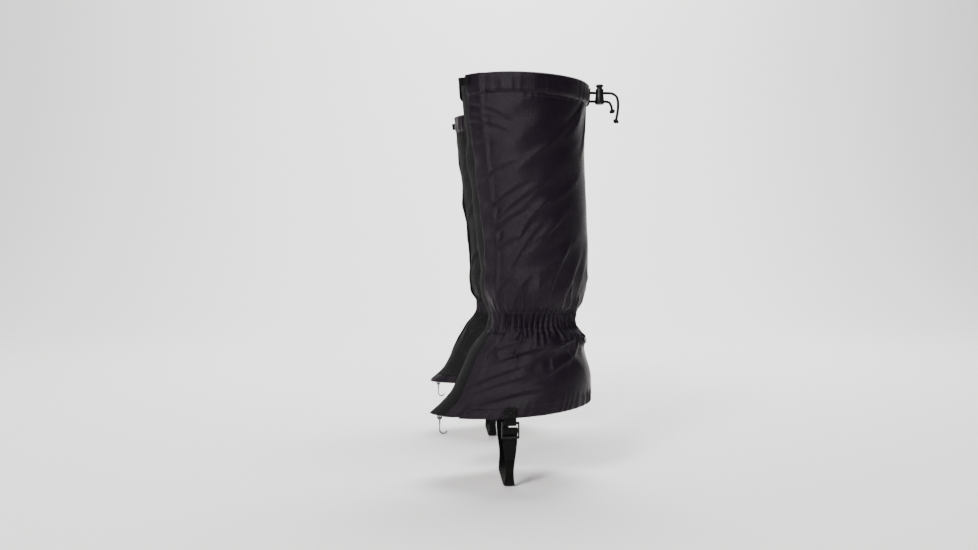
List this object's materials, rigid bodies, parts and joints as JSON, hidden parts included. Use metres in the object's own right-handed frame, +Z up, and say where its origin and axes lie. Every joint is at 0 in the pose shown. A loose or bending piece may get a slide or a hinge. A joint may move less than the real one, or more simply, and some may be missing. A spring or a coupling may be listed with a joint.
{
  "type": "gaiters",
  "caption": "Pair of knee-high fabric gaiters with a front touch-fastened flap, gathered ankle, drawcord with cord lock, lace hook and instep strap with ladder-lock buckle.",
  "frame": {"origin": "midway between the two gaiters, at the height of the undersides of the instep straps", "axes": "+Z up, -X towards the toes, +Y from the left gaiter to the right one"},
  "size_m": [0.2155, 0.3886, 0.446],
  "materials": {
    "outer_fabric": "tightly woven nylon with a slight sheen",
    "inner_fabric": "coarser, tougher nylon with a matt face",
    "closure_tape": "hook and loop tape",
    "elastic": "woven elastic",
    "cord": "braided elastic cord",
    "webbing": "woven webbing",
    "black_plastic": "fine satin grain",
    "steel": "dark satin steel"
  },
  "bodies": {
    "left_gaiter": {"left_outer_shin_panel": "outer_fabric", "left_inner_shin_panel": "inner_fabric", "left_outer_boot_panel": "outer_fabric", "left_inner_boot_panel": "inner_fabric", "left_top_hem": "outer_fabric", "left_drawcord": "cord", "left_ankle_casing": "outer_fabric", "left_ankle_elastic": "elastic", "left_bottom_hem": "outer_fabric", "left_heel_elastic": "elastic", "left_loop_strip_upper": "closure_tape", "left_loop_strip_lower": "closure_tape", "left_cord_exit_patch": "webbing", "left_cord_tail": "cord", "left_cord_anchor": "cord", "left_lace_hook_tab": "webbing"},
    "left_flap_upper": {"left_flap_upper": "outer_fabric", "left_hook_strip_upper": "closure_tape", "left_flap_pull_tab": "webbing"},
    "left_flap_lower": {"left_flap_lower": "outer_fabric", "left_hook_strip_lower": "closure_tape"},
    "left_strap": {"left_instep_strap": "webbing", "left_strap_tab": "webbing"},
    "left_buckle": {"left_ladder_buckle": "black_plastic", "left_strap_end": "webbing"},
    "left_lace_hook": {"left_lace_hook": "steel"},
    "left_cord_lock": {"left_cord_lock_body": "black_plastic", "left_cord_lock_spring": "steel"},
    "left_plunger": {"left_cord_lock_plunger": "black_plastic"},
    "right_gaiter": {"right_outer_shin_panel": "outer_fabric", "right_inner_shin_panel": "inner_fabric", "right_outer_boot_panel": "outer_fabric", "right_inner_boot_panel": "inner_fabric", "right_top_hem": "outer_fabric", "right_drawcord": "cord", "right_ankle_casing": "outer_fabric", "right_ankle_elastic": "elastic", "right_bottom_hem": "outer_fabric", "right_heel_elastic": "elastic", "right_loop_strip_upper": "closure_tape", "right_loop_strip_lower": "closure_tape", "right_cord_exit_patch": "webbing", "right_cord_tail": "cord", "right_cord_anchor": "cord", "right_lace_hook_tab": "webbing"},
    "right_flap_upper": {"right_flap_upper": "outer_fabric", "right_hook_strip_upper": "closure_tape", "right_flap_pull_tab": "webbing"},
    "right_flap_lower": {"right_flap_lower": "outer_fabric", "right_hook_strip_lower": "closure_tape"},
    "right_strap": {"right_instep_strap": "webbing", "right_strap_tab": "webbing"},
    "right_buckle": {"right_ladder_buckle": "black_plastic", "right_strap_end": "webbing"},
    "right_lace_hook": {"right_lace_hook": "steel"},
    "right_cord_lock": {"right_cord_lock_body": "black_plastic", "right_cord_lock_spring": "steel"},
    "right_plunger": {"right_cord_lock_plunger": "black_plastic"}
  },
  "joints": [
    {"name": "left_flap_peel", "type": "hinge", "parent": "left_gaiter", "child": "left_flap_upper", "pos_m": [-0.03631, -0.17322, 0.205], "axis": [-0.0799, -0.0352, 0.9962], "range_deg": [0, 150]},
    {"name": "left_flap_peel_instep", "type": "hinge", "parent": "left_gaiter", "child": "left_flap_lower", "pos_m": [-0.0774, -0.16918, 0.08], "axis": [0.436, -0.0295, 0.8995], "range_deg": [0, 150]},
    {"name": "left_strap_swing", "type": "hinge", "parent": "left_gaiter", "child": "left_strap", "pos_m": [-0.027, -0.13, 0.0722], "axis": [0, 1, 0], "range_deg": [-25, 25]},
    {"name": "left_buckle_tilt", "type": "hinge", "parent": "left_strap", "child": "left_buckle", "pos_m": [-0.027, -0.1845, 0.0722], "axis": [-1, 0, 0], "range_deg": [0, 30]},
    {"name": "left_lace_hook_swing", "type": "hinge", "parent": "left_gaiter", "child": "left_lace_hook", "pos_m": [-0.102, -0.13, 0.07], "axis": [0, 1, 0], "range_deg": [-35, 35]},
    {"name": "left_cord_lock_slide", "type": "slide", "parent": "left_gaiter", "child": "left_cord_lock", "axis": [1, 0, 0], "range_m": [-0.005, 0]},
    {"name": "left_plunger_press", "type": "slide", "parent": "left_cord_lock", "child": "left_plunger", "axis": [0, 0, -1], "range_m": [0, 0.0022], "stiffness_N_per_m": 300, "springref_m": -0.003, "deforming": ["left_cord_lock_spring"]},
    {"name": "pair_spread", "type": "slide", "parent": "left_gaiter", "child": "right_gaiter", "axis": [0, 1, 0], "range_m": [0, 0.1]},
    {"name": "right_flap_peel", "type": "hinge", "parent": "right_gaiter", "child": "right_flap_upper", "pos_m": [-0.03631, 0.17322, 0.205], "axis": [0.0799, -0.0352, -0.9962], "range_deg": [0, 150]},
    {"name": "right_flap_peel_instep", "type": "hinge", "parent": "right_gaiter", "child": "right_flap_lower", "pos_m": [-0.0774, 0.16918, 0.08], "axis": [-0.436, -0.0295, -0.8995], "range_deg": [0, 150]},
    {"name": "right_strap_swing", "type": "hinge", "parent": "right_gaiter", "child": "right_strap", "pos_m": [-0.027, 0.13, 0.0722], "axis": [0, 1, 0], "range_deg": [-25, 25]},
    {"name": "right_buckle_tilt", "type": "hinge", "parent": "right_strap", "child": "right_buckle", "pos_m": [-0.027, 0.1845, 0.0722], "axis": [1, 0, 0], "range_deg": [0, 30]},
    {"name": "right_lace_hook_swing", "type": "hinge", "parent": "right_gaiter", "child": "right_lace_hook", "pos_m": [-0.102, 0.13, 0.07], "axis": [0, 1, 0], "range_deg": [-35, 35]},
    {"name": "right_cord_lock_slide", "type": "slide", "parent": "right_gaiter", "child": "right_cord_lock", "axis": [1, 0, 0], "range_m": [-0.005, 0]},
    {"name": "right_plunger_press", "type": "slide", "parent": "right_cord_lock", "child": "right_plunger", "axis": [0, 0, -1], "range_m": [0, 0.0022], "stiffness_N_per_m": 300, "springref_m": -0.003, "deforming": ["right_cord_lock_spring"]}
  ],
  "couplings": [
    {"joint": "left_flap_peel_instep", "follows": "left_flap_peel", "ratio": 1},
    {"joint": "right_flap_peel_instep", "follows": "right_flap_peel", "ratio": 1}
  ]
}
